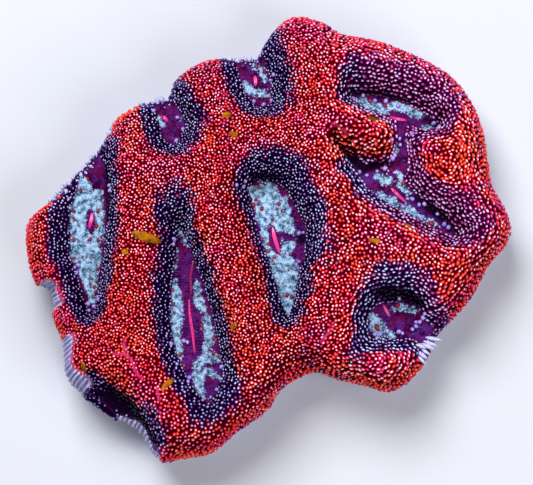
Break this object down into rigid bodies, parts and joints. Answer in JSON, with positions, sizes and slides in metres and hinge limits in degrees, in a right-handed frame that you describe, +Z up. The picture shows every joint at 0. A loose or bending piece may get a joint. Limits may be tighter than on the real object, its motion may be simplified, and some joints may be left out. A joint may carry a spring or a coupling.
{
  "type": "brain coral",
  "caption": "Piece of fleshy brain coral with thick red ridges winding between pale turquoise valleys, cut off flat underneath to stand on.",
  "frame": {"origin": "on the flat cut underneath, below the middle of the colony's box", "axes": "+Z up out of the valleys, +X along the longest side, +Y towards the top lobe"},
  "size_m": [0.0936, 0.086, 0.026],
  "materials": {
    "coral_flesh": "moist living flesh, grained",
    "coral_skeleton": "matt, finely ribbed"
  },
  "bodies": {
    "root": {"coral_colony": "coral_flesh"}
  },
  "joints": []
}
